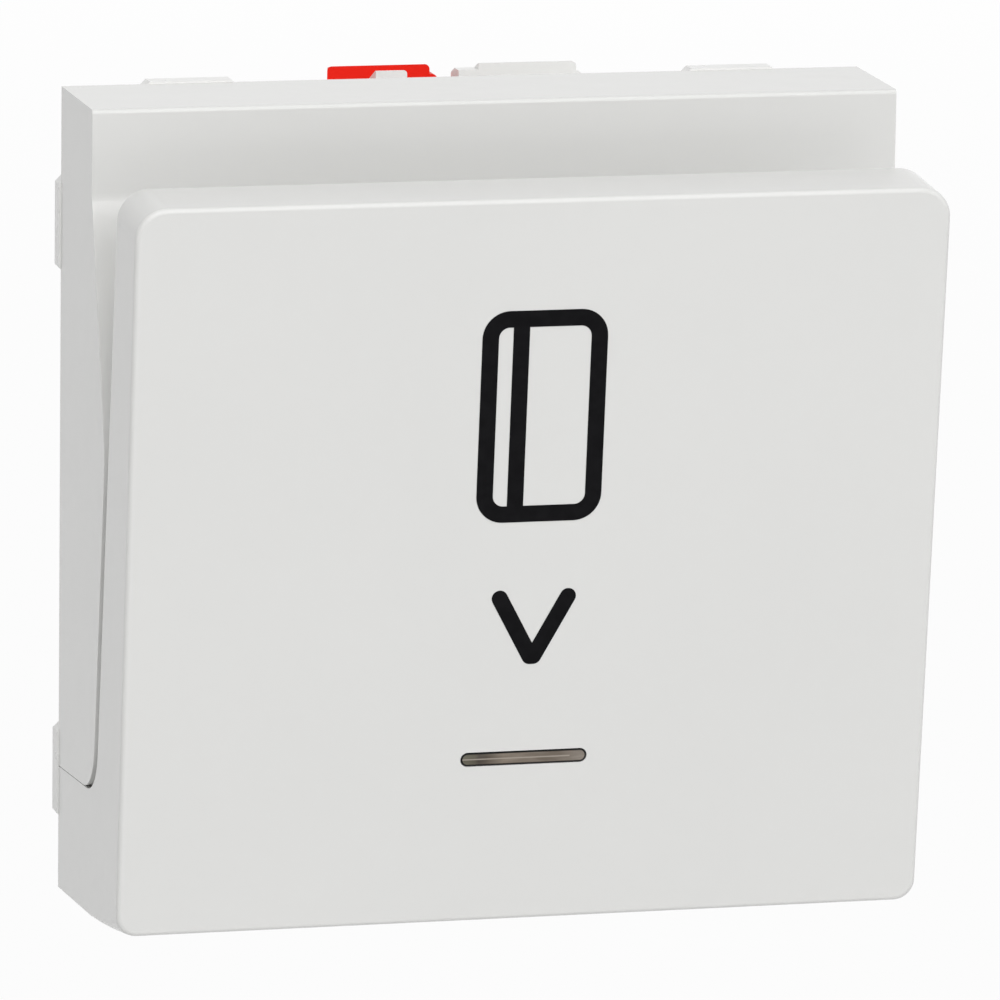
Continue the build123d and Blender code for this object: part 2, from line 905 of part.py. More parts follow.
def tail_levels():
    """Side and height of each contact bar's tail: common, open, neutral and closed."""
    return (
        (-1, switch_centre_z + tab_pitch),
        (1, switch_centre_z),
        (-1, neutral_lead_z),
        (1, switch_centre_z - tab_pitch),
    )


def snap_hooks():
    """Narrow hook finger and stepped hook on the upper wall of the housing."""
    drop = math.tan(math.radians(hook_ramp))
    finger = outline([
        (finger_low_x, hook_foot_z),
        (finger_low_x, finger_top_z),
        (finger_high_x, finger_top_z),
        (finger_high_x, hook_foot_z),
    ])
    stepped = outline([
        (step_low_x, hook_foot_z),
        (step_low_x, step_low_z),
        (step_mid_x, step_low_z),
        (step_mid_x, step_top_z),
        (step_high_x, step_top_z),
        (step_high_x, step_end_z),
        (step_end_x, step_foot_z),
        (step_end_x, hook_foot_z),
    ])
    finger = rounded(finger, [((finger_high_x, finger_top_z), finger_top_radius)])
    stepped = rounded(stepped, [((step_high_x, step_top_z), hook_top_radius)])
    solid = None
    hooks = ((finger, finger_depth, finger_top_z), (stepped, hook_depth, step_top_z))
    for face, depth, top in hooks:
        hook = extrude(Plane.XZ.offset(-hook_y) * face, -depth)
        ramp = outline([
            (hook_y, top),
            (hook_y + hook_land, top),
            (hook_y + hook_land + overrun, top - drop * overrun),
            (hook_y + hook_land + overrun, hook_foot_z),
            (hook_y, hook_foot_z),
        ])
        hook = hook & across_x(ramp, half_width)
        solid = hook if solid is None else solid + hook
    return solid


def latch_pocket():
    """Three-sided pocket under the upper wall that holds a latch and its spring."""
    low_x = latch_low_x - latch_clearance
    high_x = latch_step_two_x + latch_clearance
    low_y = latch_y - latch_shoulder - latch_clearance
    high_y = latch_y + latch_depth + latch_shoulder + latch_clearance
    floor = latch_pocket_floor_z
    outer = block(
        low_x - latch_pocket_wall, high_x + latch_pocket_wall, low_y, high_y,
        floor - latch_pocket_wall, tub_inner_z + housing_wall / 2,
    )
    return outer - block(low_x, high_x, low_y - wall, high_y + wall, floor, tub_inner_z)


def latch_slot():
    """Slot in the deck that the latch moves through, over the room for its shoulder."""
    low_x = latch_low_x - latch_clearance
    high_x = latch_step_two_x + latch_clearance
    low_y = latch_y - latch_clearance
    high_y = latch_y + latch_depth + latch_clearance
    room = block(
        low_x, high_x, low_y - latch_shoulder, high_y + latch_shoulder,
        latch_pocket_floor_z, deck_ceiling_z,
    )
    return room + block(low_x, high_x, low_y, high_y, tub_inner_z, deck_top_z + wall)


def terminal_openings(side, level):
    """Round wire entry with its funnel and the square hole of the release button."""
    x = side * terminal_x
    wire = rod_y(wire_hole_radius, rear_inner_y - wall, housing_depth + wall, x, level * wire_z)
    funnel = Pos(x, housing_depth - wire_funnel / 2, level * wire_z) * Rot(-90, 0, 0) * Cone(
        wire_hole_radius, wire_hole_radius + wire_funnel, wire_funnel
    )
    half_x = release_width / 2 + release_fit
    half_z = release_height / 2 + release_fit
    z = level * release_z
    hole = block(
        x - half_x, x + half_x, rear_inner_y - wall, housing_depth + wall, z - half_z, z + half_z
    )
    return wire + funnel + hole


def arm_window(side, level):
    """Window in the housing's side wall that the body's snap arm hooks into."""
    half = arm_width / 2 + arm_window_clearance
    low_x, high_x = sorted((side * (tub_inner_x - wall), side * (tub_half_x + wall)))
    low_y = arm_tip_y - arm_barb_length - arm_window_clearance
    return block(
        low_x, high_x, low_y, arm_tip_y + arm_window_clearance,
        level * arm_z - half, level * arm_z + half,
    )


def release_latch():
    """Red latch that snaps behind the mounting frame's edge and is pushed in to let go."""
    points = [
        (latch_low_x, latch_foot_z),
        (latch_low_x, latch_top_z),
        (latch_step_one_x, latch_top_z),
        (latch_step_one_x, latch_step_z),
        (latch_step_two_x, latch_step_z),
        (latch_step_two_x, latch_foot_z),
    ]
    face = rounded(outline(points), [(points[corner], latch_top_radius) for corner in (1, 2, 4)])
    latch = extrude(Plane.XZ.offset(-latch_y) * face, -latch_depth)
    ramp = outline([
        (latch_y, latch_top_z),
        (latch_y + overrun, latch_top_z - overrun * math.tan(math.radians(hook_ramp))),
        (latch_y + overrun, latch_foot_z),
        (latch_y, latch_foot_z),
    ])
    latch = latch & across_x(ramp, half_width)
    side = outline([
        (latch_low_x, latch_y),
        (latch_low_x - overrun, latch_y),
        (latch_low_x - overrun, latch_y + overrun),
        (latch_low_x + overrun * math.tan(math.radians(latch_side_taper)), latch_y + overrun),
    ])
    latch = latch - Pos(0, 0, deck_top_z) * extrude(side, overrun)
    shoulder_top = deck_ceiling_z - latch_spring_gap
    return latch + block(
        latch_low_x, latch_step_two_x, latch_y - latch_shoulder, latch_y + latch_depth + latch_shoulder,
        shoulder_top - latch_shoulder_height, shoulder_top,
    )


def latch_spring():
    """Bowed leaf spring between the pocket's floor and the latch."""
    low_x = latch_low_x + latch_spring_strip
    high_x = latch_step_two_x - latch_spring_strip
    foot = latch_pocket_floor_z + latch_spring_gap
    crown = latch_foot_z - latch_spring_gap - latch_spring_strip
    middle_x = (low_x + high_x) / 2
    upper = foot + latch_spring_strip
    bow = make_face([
        ThreePointArc((low_x, foot), (middle_x, crown), (high_x, foot)),
        Line((high_x, foot), (high_x, upper)),
        ThreePointArc((high_x, upper), (middle_x, crown + latch_spring_strip), (low_x, upper)),
        Line((low_x, upper), (low_x, foot)),
    ])
    return extrude(Plane.XZ.offset(-latch_y) * bow, -latch_depth)


def switch_carrier():
    """Inner frame that closes the terminal chambers and holds the snap switch and board."""
    half_x = tub_inner_x - carrier_clearance
    half_z = tub_inner_z - carrier_clearance
    back_y = carrier_y + carrier_thickness
    plate = extrude(
        Plane.XZ.offset(-carrier_y)
        * RectangleRounded(half_x * 2, half_z * 2, housing_corner - housing_wall),
        -carrier_thickness,
    )
    gap = carrier_clearance
    low_z = switch_foot_z
    high_z = switch_centre_z + switch_length / 2
    plate = plate - block(
        -switch_half_width - gap, switch_half_width + gap, carrier_y - wall, back_y + wall,
        low_z - gap, high_z + gap,
    )
    notch = block(
        latch_low_x - latch_clearance - latch_pocket_wall - gap,
        latch_step_two_x + latch_clearance + latch_pocket_wall + gap,
        carrier_y - wall, back_y + wall,
        latch_pocket_floor_z - latch_pocket_wall - gap, half_height,
    )
    plate = plate - notch - half_turned(notch)
    for x, z in ((neutral_lead_x, neutral_lead_z), (switched_lead_x, switched_lead_z)):
        plate = plate - rod_y(lead_radius + lead_hole, carrier_y - wall, back_y + wall, x, z)
    for side in (-1, 1):
        low_x, high_x = sorted((side * switch_half_width, side * (switch_half_width + cheek_thickness)))
        plate = plate + block(low_x, high_x, cheek_front_y, carrier_y + wall, low_z, high_z)
    for z in (low_z + switch_hole_inset, high_z - switch_hole_inset):
        plate = plate + rod_x(
            switch_hole_radius - peg_fit, -switch_half_width, peg_length - switch_half_width,
            switch_hole_y(), z,
        )
    plate = plate + rod_y(spring_post_radius, spring_post_y, carrier_y, 0, spring_z)
    plate = plate + rod_y(
        spring_peg_radius, spring_post_y - spring_peg_length, spring_post_y, 0, spring_z
    )
    board_back = board_y + board_thickness
    for x, z in post_places:
        plate = plate + rod_y(post_radius, board_back, carrier_y, x, z)
        plate = plate + rod_y(post_tip_radius, board_y - post_tip_radius, board_back, x, z)
    return plate


def switch_hole_y():
    """Depth of the two fixing holes of the snap switch."""
    return switch_front_y + switch_depth * switch_hole_depth_share


def snap_switch_case():
    """Moulded case of the snap switch with its fixing holes and button guide."""
    low_z = switch_foot_z
    high_z = switch_centre_z + switch_length / 2
    case = block(
        -switch_half_width, switch_half_width, switch_front_y, switch_front_y + switch_depth,
        low_z, high_z,
    )
    case = chamfer(case.edges().filter_by(Axis.X), switch_edge)
    for z in (low_z + switch_hole_inset, high_z - switch_hole_inset):
        case = case - rod_x(switch_hole_radius, -half_width / 2, half_width / 2, switch_hole_y(), z)
    return case - block(
        -button_half_width - button_fit, button_half_width + button_fit,
        switch_front_y - wall, switch_front_y + button_inside + button_reach,
        button_z - button_half_height - button_fit, button_z + button_half_height + button_fit,
    )


def snap_switch_button():
    """Small button that the lever's pad pushes in."""
    button = block(
        -button_half_width, button_half_width,
        switch_front_y - button_reach, switch_front_y + button_inside,
        button_z - button_half_height, button_z + button_half_height,
    )
    return chamfer(button.faces().sort_by(Axis.Y)[0].edges(), button_fit * 2)


def snap_switch_tabs():
    """Common, open and closed tab of the snap switch."""
    tabs = None
    back = switch_front_y + switch_depth
    for step in (-1, 0, 1):
        z = switch_centre_z + step * tab_pitch
        tab = block(
            -tab_thickness / 2, tab_thickness / 2, back, back + tab_length,
            z - tab_width / 2, z + tab_width / 2,
        )
        tab = chamfer(tab.edges().filter_by(Axis.X).group_by(Axis.Y)[-1], tab_thickness)
        tab = tab - rod_x(tab_hole_radius, -wall, wall, back + tab_length * 5 / 8, z)
        tabs = tab if tabs is None else tabs + tab
    return tabs


def indicator_board():
    """Circuit board on the carrier's two posts."""
    board = block(
        board_left_x, board_right_x, board_y, board_y + board_thickness,
        board_foot_z, board_foot_z + board_height,
    )
    for x, z in post_places:
        board = board - rod_y(post_tip_radius + peg_fit, board_y - wall, board_y + wall * 2, x, z)
    return board


def indicator_led():
    """Side by side lamp body and its domed window, facing the light guide."""
    lamp = block(
        -led_width / 2, led_width / 2, board_y - led_depth, board_y,
        led_z - led_height / 2, led_z + led_height / 2,
    )
    return chamfer(lamp.faces().sort_by(Axis.Y)[0].edges(), led_edge)


def board_resistor():
    """Series resistor with its two end caps."""
    half_x = resistor_length / 2
    half_z = resistor_height / 2
    body = block(
        resistor_x - half_x + resistor_cap, resistor_x + half_x - resistor_cap,
        board_y - resistor_depth * 9 / 10, board_y, resistor_z - half_z, resistor_z + half_z,
    )
    caps = [
        block(
            resistor_x + low, resistor_x + high, board_y - resistor_depth, board_y,
            resistor_z - half_z, resistor_z + half_z,
        )
        for low, high in ((-half_x, -half_x + resistor_cap), (half_x - resistor_cap, half_x))
    ]
    return body + caps[0] + caps[1]


def board_leads():
    """Two stiff leads from the board to the neutral and the switched contact bar."""
    start_y = board_y + board_thickness
    neutral = rod_y(lead_radius, start_y, bar_front_y, neutral_lead_x, neutral_lead_z)
    turn_y = bar_front_y + bar_thickness / 2
    tail_foot = switch_centre_z - tab_pitch - tail_half_height
    path = FilletPolyline(
        (switched_lead_x, start_y, switched_lead_z),
        (switched_lead_x, turn_y, switched_lead_z),
        (switched_lead_x, turn_y, tail_foot),
        radius=lead_bend,
    )
    section = Plane(origin=path @ 0, z_dir=path % 0) * Circle(lead_radius)
    switched = sweep(section, path=path)
    return Compound([neutral.solid(), switched.solid()])


def contact_bar(side, level, tail):
    """Brass bar of one terminal, with a tail to its switch tab or board lead."""
    tail_end, tail_z = tail
    inner = outline([
        (bar_front_y, bar_foot_z),
        (bar_foot_back_y, bar_foot_z),
        (bar_foot_back_y, bar_foot_z + bar_thickness),
        (bar_front_y + bar_thickness, bar_foot_z + bar_thickness),
        (bar_front_y + bar_thickness, bar_top_z - bar_thickness),
        (bar_back_y, bar_top_z - bar_thickness),
        (bar_back_y, bar_top_z),
        (bar_front_y, bar_top_z),
    ])
    inner = rounded(inner, [
        ((bar_front_y, bar_foot_z), bar_bend),
        ((bar_front_y, bar_top_z), bar_bend),
    ])
    if level < 0:
        inner = mirror(inner, about=Plane.XZ)
    bar = Pos(side * terminal_x, 0, 0) * across_x(inner, bar_width / 2)
    near = side * (terminal_x - bar_width / 2)
    low_x, high_x = sorted((tail_end, near + side * wall))
    strip = block(
        low_x, high_x, bar_front_y, bar_front_y + bar_thickness,
        tail_z - tail_half_height, tail_z + tail_half_height,
    )
    return bar + strip


def terminal_spring(side, level):
    """Bent steel strip that presses the wire against the contact bar."""
    foot = strip_foot_z + strip_thickness / 2
    tip_z = bar_top_z - bar_thickness - strip_gap - strip_thickness / 2
    path = FilletPolyline(
        (strip_anchor_y, level * strip_anchor_z),
        (strip_anchor_y, level * foot),
        (strip_foot_y, level * foot),
        (strip_tip_y, level * tip_z),
        radius=strip_bend,
    )
    strip = trace(path, strip_thickness)
    return Pos(side * terminal_x, 0, 0) * across_x(strip, strip_width / 2)


def terminal_button(side, level):
    """Release button with a slanted nose beside the spring and a shoulder behind the wall."""
    foot = (strip_foot_y, strip_foot_z + strip_thickness / 2)
    tip = (strip_tip_y, bar_top_z - bar_thickness - strip_gap - strip_thickness / 2)
    lean = math.atan2(foot[0] - tip[0], tip[1] - foot[1])
    shift = (strip_thickness / 2 + release_nose_gap) / math.cos(lean)
    low = release_z - release_height / 2
    high = release_z + release_height / 2
    nose_low = line_y(foot, tip, low) + shift
    nose_high = line_y(foot, tip, high) + shift
    shoulder_back = rear_inner_y - release_fit
    shoulder_front = shoulder_back - release_shoulder_depth
    points = [
        (nose_low, low),
        (shoulder_front, low),
        (shoulder_front, low - release_shoulder),
        (shoulder_back, low - release_shoulder),
        (shoulder_back, low),
        (housing_depth, low),
        (housing_depth, high),
        (nose_high, high),
    ]
    profile = outline([(y, level * z) for y, z in points])
    return Pos(side * terminal_x, 0, 0) * across_x(profile, release_width / 2)


def single_parts():
    """Every piece that is made once."""
    return {
        "front_cover": front_cover(),
        "slot_plate": slot_plate(),
        "indicator_lens": indicator_lens(),
        "light_guide": light_guide(),
        "card_guide_body": card_guide_body(),
        "card_lever": card_lever(),
        "lever_pivot_pin": lever_pivot_pin(),
        "lever_spring": lever_spring(),
        "mechanism_housing": mechanism_housing(),
        "switch_carrier": switch_carrier(),
        "snap_switch_case": snap_switch_case(),
        "snap_switch_button": snap_switch_button(),
        "snap_switch_tabs": snap_switch_tabs(),
        "indicator_board": indicator_board(),
        "indicator_led": indicator_led(),
        "board_resistor": board_resistor(),
        "board_leads": board_leads(),
        "release_latch_top": release_latch(),
        "release_latch_bottom": half_turned(release_latch()),
        "latch_spring_top": latch_spring(),
        "latch_spring_bottom": half_turned(latch_spring()),
    }


def terminal_parts():
    """Bar, spring and release button of each of the four terminals."""
    parts = {}
    tab_side = tab_thickness / 2
    tails = (
        (-tab_side, switch_centre_z + tab_pitch),
        (tab_side, switch_centre_z),
        (neutral_lead_x + lead_radius, neutral_lead_z),
        (tab_side, switch_centre_z - tab_pitch),
    )
    corners = ((-1, 1), (1, 1), (-1, -1), (1, -1))
    for number, (corner, tail) in enumerate(zip(corners, tails), start=1):
        parts[f"contact_bar_{number}"] = contact_bar(*corner, tail)
        parts[f"terminal_spring_{number}"] = terminal_spring(*corner)
        parts[f"terminal_button_{number}"] = terminal_button(*corner)
    return parts


os.makedirs("parts", exist_ok=True)
for name, part in {**single_parts(), **terminal_parts()}.items():
    export_step(part, f"parts/{name}.step")
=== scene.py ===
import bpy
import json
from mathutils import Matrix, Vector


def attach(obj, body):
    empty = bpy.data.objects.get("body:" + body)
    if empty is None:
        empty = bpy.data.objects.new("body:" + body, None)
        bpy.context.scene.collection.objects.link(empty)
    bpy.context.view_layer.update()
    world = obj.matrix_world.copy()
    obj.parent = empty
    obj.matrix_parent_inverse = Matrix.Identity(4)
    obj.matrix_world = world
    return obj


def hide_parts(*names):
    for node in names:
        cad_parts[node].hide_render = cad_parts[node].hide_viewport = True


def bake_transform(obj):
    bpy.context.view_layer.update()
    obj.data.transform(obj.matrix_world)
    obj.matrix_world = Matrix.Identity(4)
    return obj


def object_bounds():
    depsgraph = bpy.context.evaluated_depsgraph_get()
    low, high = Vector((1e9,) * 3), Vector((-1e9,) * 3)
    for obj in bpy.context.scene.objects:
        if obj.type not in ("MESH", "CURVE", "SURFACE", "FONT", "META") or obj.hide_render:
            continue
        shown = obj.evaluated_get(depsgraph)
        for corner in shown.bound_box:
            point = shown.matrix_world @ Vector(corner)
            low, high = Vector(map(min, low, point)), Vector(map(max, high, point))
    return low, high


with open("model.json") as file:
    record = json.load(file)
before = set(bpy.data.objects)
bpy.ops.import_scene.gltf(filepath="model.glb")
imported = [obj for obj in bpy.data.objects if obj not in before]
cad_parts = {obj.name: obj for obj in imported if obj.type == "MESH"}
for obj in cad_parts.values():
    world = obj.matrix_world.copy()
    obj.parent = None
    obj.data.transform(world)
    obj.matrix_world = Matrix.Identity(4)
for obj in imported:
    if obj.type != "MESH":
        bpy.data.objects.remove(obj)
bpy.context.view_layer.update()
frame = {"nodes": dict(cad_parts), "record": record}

import json
import math

import bmesh
import bpy
from mathutils import Matrix, Vector

# Hotel key card switch: the looks, in metres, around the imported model.

MM = 0.001

# Camera: the photograph's viewpoint in the part's frame
CAMERA_PLACE = (-117.645 * MM, -472.158 * MM, 98.366 * MM)
CAMERA_TURN_DEG = 14.302
CAMERA_DOWN_DEG = 11.607
CAMERA_ROLL_DEG = 0.836
CAMERA_LENS_MM = 321.6
SENSOR_MM = 36.0

# Printed card symbol on the cover's front face, left and right as seen from the front
PRINT_THICKNESS = 0.012 * MM
PRINT_LIFT = 0.004 * MM
CARD_LEFT = -3.36 * MM
CARD_RIGHT = 3.55 * MM
CARD_TOP = 12.7 * MM
CARD_FOOT = 0.97 * MM
CARD_STROKE = 0.91 * MM
CARD_RADIUS = 1.5 * MM
STRIPE_LEFT = -1.66 * MM
STRIPE_RIGHT = -0.76 * MM
ARROW_CENTRE = 0.05 * MM
ARROW_HALF_WIDTH = 1.89 * MM
ARROW_TOP = -3.27 * MM
ARROW_FOOT = -6.58 * MM
ARROW_FOOT_HALF = 0.1 * MM
ARROW_STROKE = 0.89 * MM
CORNER_STEPS = 12

# Indicator lens: its face in the slot of the cover
LENS_X = -0.15 * MM
LENS_Z = -12.31 * MM
LENS_STRAIGHT_HALF = 3.12 * MM
LENS_END_RADIUS = 0.35 * MM
# Painted shadow of the gap round the lens: width and blur of a near-black band at the lens's edge
LENS_GAP_SHADE_WIDTH = 0.05 * MM
LENS_GAP_SHADE_BLUR = 0.04 * MM
# Painted highlight: a thin bright streak along the lens's middle, its half height, where it ends, how
# strongly it shows and its colour
LENS_HIGHLIGHT_HALF = 0.03 * MM
LENS_HIGHLIGHT_END = 2.55 * MM
LENS_HIGHLIGHT_SHARE = 0.8
LENS_HIGHLIGHT_COLOUR = (0.42, 0.37, 0.32, 1)
# Colour of the painted gap shadow round the lens
LENS_GAP_SHADE_COLOUR = (0.003, 0.003, 0.003, 1)
LENS_DARK = (0.165, 0.137, 0.11)
LENS_LIGHT = (0.275, 0.24, 0.205)
LENS_GRAIN = (420.0, 60.0, 3200.0)
LENS_ROUGHNESS = 0.25
LENS_SHINE = 0.25
# Shade of the brown along the bar: share of its length, then colour
LENS_SHADES = (
    (0.05, (0.62, 0.68, 0.6)), (0.11, (0.55, 0.58, 0.52)), (0.14, (0.36, 0.35, 0.34)),
    (0.2, (0.42, 0.4, 0.37)), (0.34, (0.9, 0.86, 0.8)), (0.9, (1.0, 1.0, 1.0)),
)

# Springs between the module and what presses them: body, then two points, in mm.
FLEXING = {
    "lever_spring": ("card_lever", (0, -1.65, -9.4), (0, -5.83, -9.4)),
    "latch_spring_top": ("latch_top", (-3.05, 6.5, 13.9), (-3.05, 6.5, 16.3)),
    "latch_spring_bottom": ("latch_bottom", (3.05, 6.5, -13.9), (3.05, 6.5, -16.3)),
    "terminal_spring_1": ("release_1", (-12.4, 11.2, 2.8), (-12.4, 13.6, 3.4)),
    "terminal_spring_2": ("release_2", (12.4, 11.2, 2.8), (12.4, 13.6, 3.4)),
    "terminal_spring_3": ("release_3", (-12.4, 11.2, -2.8), (-12.4, 13.6, -3.4)),
    "terminal_spring_4": ("release_4", (12.4, 11.2, -2.8), (12.4, 13.6, -3.4)),
}

# Studio
FLOOR_DROP = 60 * MM
FLOOR_SIZE = 3.0
WHITE = (1.0, 1.0, 1.0, 1.0)
WORLD_STRENGTH = 0.32
WORLD_WHITE_SHARE = 1.0
FLOOR_WHITE_SHARE = 0.94
FLOOR_COLOUR = (0.7, 0.7, 0.7, 1)
FLOOR_ROUGHNESS = 0.9
# Soft lamps that look at the middle: name, place, width, height, power, whether gloss shows them
LAMPS = (
    ("key", (-0.4, -0.7, 0.8), 0.7, 0.5, 3.4, True),
    ("fill", (0.7, -0.7, 0.2), 0.6, 0.8, 1.5, True),
    ("top", (0, -0.4, 0.85), 0.8, 0.6, 2.4, True),
    ("front", (0.1, -1.0, 0.45), 0.5, 0.5, 2.25, True),
    ("back", (0.3, 0.95, 0.1), 0.6, 0.6, 3.5, False),
)

# Noise behind the materials: its scales per metre, its middle values and how strongly it shows
NOISE_LOW = 0.35
NOISE_HIGH = 0.65
FLOW_SCALE = 55.0
GLOSS_SCALE = 260.0
GLOSS_SPREAD = 0.1
SKIN_SCALE = 900.0
SKIN_STRENGTH = 0.35
ROLLED_DARK_SHARE = 0.82
ROLLED_ROUGHNESS_SHARES = (0.75, 1.3)
ROLLED_RELIEF = 0.01 * MM
ROLLED_STRENGTH = 0.3
INK_SCALE = 1500.0
INK_DARK = (0.0070, 0.0068, 0.0076)
INK_LIGHT = (0.0095, 0.0093, 0.0103)
INK_ROUGHNESS = 0.4
INK_SHINE = 0.03
INK_RELIEF = 0.002 * MM
INK_STRENGTH = 0.4

# Circuit board: tracks under green solder mask
TRACK_SCALE = 420.0
TRACK_GAP = 0.06
MASK_DARK = (0.015, 0.17, 0.06, 1)
MASK_LIGHT = (0.02, 0.2, 0.075, 1)
TRACK_COLOUR = (0.04, 0.3, 0.1, 1)
TRACK_RELIEF = 0.02 * MM
TRACK_STRENGTH = 0.4
BOARD_ROUGHNESS = 0.3

# Facets that look this far forward belong to the cover's front face
FRONT_FACING = -0.9


def camera_axes():
    """Right, up and forward of the camera."""
    turn = math.radians(CAMERA_TURN_DEG)
    down = math.radians(CAMERA_DOWN_DEG)
    roll = math.radians(CAMERA_ROLL_DEG)
    forward = Vector((math.sin(turn) * math.cos(down), math.cos(turn) * math.cos(down), -math.sin(down)))
    level = Vector((math.cos(turn), -math.sin(turn), 0))
    upward = level.cross(forward)
    right = level * math.cos(roll) + upward * math.sin(roll)
    return right, right.cross(forward), forward


def add_camera():
    """Camera at the photograph's place, with its long lens."""
    data = bpy.data.cameras.new("camera")
    data.sensor_width = SENSOR_MM
    data.lens = CAMERA_LENS_MM
    data.clip_start = MM
    camera = bpy.data.objects.new("camera", data)
    right, up, forward = camera_axes()
    turn = Matrix((right, up, -forward)).transposed().to_4x4()
    camera.matrix_world = Matrix.Translation(CAMERA_PLACE) @ turn
    bpy.context.collection.objects.link(camera)
    bpy.context.scene.camera = camera


def add_lamp(name, place, width, height, power, in_gloss):
    """Rectangular soft lamp that looks at the middle."""
    data = bpy.data.lights.new(name, "AREA")
    data.shape = "RECTANGLE"
    data.size = width
    data.size_y = height
    data.energy = power
    lamp = bpy.data.objects.new(name, data)
    look = (-Vector(place)).to_track_quat("-Z", "Y")
    lamp.matrix_world = Matrix.Translation(place) @ look.to_matrix().to_4x4()
    bpy.context.collection.objects.link(lamp)
    lamp.visible_glossy = in_gloss


def ray_white(nodes, links, lit, share):
    """Mostly white for rays from the camera, gloss and glass, and the lit shader for the rest."""
    path = nodes.new("ShaderNodeLightPath")
    seen = nodes.new("ShaderNodeMath")
    seen.operation = "MAXIMUM"
    links.new(path.outputs["Is Camera Ray"], seen.inputs[0])
    links.new(path.outputs["Is Glossy Ray"], seen.inputs[1])
    any_ray = nodes.new("ShaderNodeMath")
    any_ray.operation = "MAXIMUM"
    links.new(seen.outputs[0], any_ray.inputs[0])
    links.new(path.outputs["Is Transmission Ray"], any_ray.inputs[1])
    of_world = lit.bl_idname == "ShaderNodeBackground"
    white = nodes.new("ShaderNodeBackground" if of_world else "ShaderNodeEmission")
    white.inputs["Color"].default_value = WHITE
    white.inputs["Strength"].default_value = 1.0
    shared = nodes.new("ShaderNodeMath")
    shared.operation = "MULTIPLY"
    shared.inputs[1].default_value = share
    links.new(any_ray.outputs[0], shared.inputs[0])
    mix = nodes.new("ShaderNodeMixShader")
    links.new(shared.outputs[0], mix.inputs[0])
    links.new(lit.outputs[0], mix.inputs[1])
    links.new(white.outputs[0], mix.inputs[2])
    return mix


def add_world():
    """Even white surroundings."""
    world = bpy.data.worlds.new("studio")
    world.use_nodes = True
    bpy.context.scene.world = world
    tree = world.node_tree
    lit = tree.nodes["Background"]
    lit.inputs["Color"].default_value = WHITE
    lit.inputs["Strength"].default_value = WORLD_STRENGTH
    mix = ray_white(tree.nodes, tree.links, lit, WORLD_WHITE_SHARE)
    tree.links.new(mix.outputs[0], tree.nodes["World Output"].inputs["Surface"])


def add_floor():
    """Plain white floor under the module."""
    mesh = bpy.data.meshes.new("floor")
    half = FLOOR_SIZE / 2
    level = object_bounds()[0][2] - FLOOR_DROP
    corners = [(-half, -half, level), (half, -half, level), (half, half, level), (-half, half, level)]
    mesh.from_pydata(corners, [], [(0, 1, 2, 3)])
    floor = bpy.data.objects.new("floor", mesh)
    bpy.context.collection.objects.link(floor)
    material = new_material("floor")
    shader = material.node_tree.nodes["Principled BSDF"]
    shader.inputs["Roughness"].default_value = FLOOR_ROUGHNESS
    shader.inputs["Base Color"].default_value = FLOOR_COLOUR
    tree = material.node_tree
    mix = ray_white(tree.nodes, tree.links, shader, FLOOR_WHITE_SHARE)
    tree.links.new(mix.outputs[0], tree.nodes["Material Output"].inputs["Surface"])
    mesh.materials.append(material)


def new_material(name):
    """Material with one principled shader."""
    material = bpy.data.materials.new(name)
    material.use_nodes = True
    return material


def object_noise(tree, scale, detail):
    """Noise in the part's own coordinates, in metres."""
    coordinates = tree.nodes.new("ShaderNodeTexCoord")
    noise = tree.nodes.new("ShaderNodeTexNoise")
    noise.inputs["Scale"].default_value = scale
    noise.inputs["Detail"].default_value = detail
    tree.links.new(coordinates.outputs["Object"], noise.inputs["Vector"])
    return noise


def ramp(tree, source, low, high):
    """Colour that runs from low to high over the middle of the noise's values."""
    shade = tree.nodes.new("ShaderNodeValToRGB")
    shade.color_ramp.elements[0].position = NOISE_LOW
    shade.color_ramp.elements[0].color = (*low, 1)
    shade.color_ramp.elements[1].position = NOISE_HIGH
    shade.color_ramp.elements[1].color = (*high, 1)
    tree.links.new(source, shade.inputs["Fac"])
    return shade.outputs["Color"]


def map_range(tree, source, low, high):
    """Number that runs from low to high with the noise."""
    node = tree.nodes.new("ShaderNodeMapRange")
    node.inputs["From Min"].default_value = NOISE_LOW
    node.inputs["From Max"].default_value = NOISE_HIGH
    node.inputs["To Min"].default_value = low
    node.inputs["To Max"].default_value = high
    tree.links.new(source, node.inputs["Value"])
    return node.outputs["Result"]


def add_bump(tree, shader, source, depth, strength):
    """Surface relief from a height, with its depth in metres."""
    bump = tree.nodes.new("ShaderNodeBump")
    bump.inputs["Strength"].default_value = strength
    bump.inputs["Distance"].default_value = depth
    tree.links.new(source, bump.inputs["Height"])
    tree.links.new(bump.outputs["Normal"], shader.inputs["Normal"])


def plastic(name, colour, roughness, spread=0.02, relief=0.002 * MM, shine=0.5, alpha=1.0):
    """Moulded plastic: faint flow shading, uneven gloss and a very fine skin."""
    material = new_material(name)
    tree = material.node_tree
    shader = tree.nodes["Principled BSDF"]
    flow = object_noise(tree, FLOW_SCALE, 2.0)
    low = [max(0.0, part * (1 - spread)) for part in colour]
    high = [min(1.0, part * (1 + spread)) for part in colour]
    tree.links.new(ramp(tree, flow.outputs["Fac"], low, high), shader.inputs["Base Color"])
    gloss = object_noise(tree, GLOSS_SCALE, 3.0)
    dull, bright = roughness * (1 + GLOSS_SPREAD), roughness * (1 - GLOSS_SPREAD)
    rough = map_range(tree, gloss.outputs["Fac"], bright, dull)
    tree.links.new(rough, shader.inputs["Roughness"])
    skin = object_noise(tree, SKIN_SCALE, 2.0)
    add_bump(tree, shader, skin.outputs["Fac"], relief, SKIN_STRENGTH)
    shader.inputs["Specular IOR Level"].default_value = shine
    shader.inputs["Alpha"].default_value = alpha
    return material


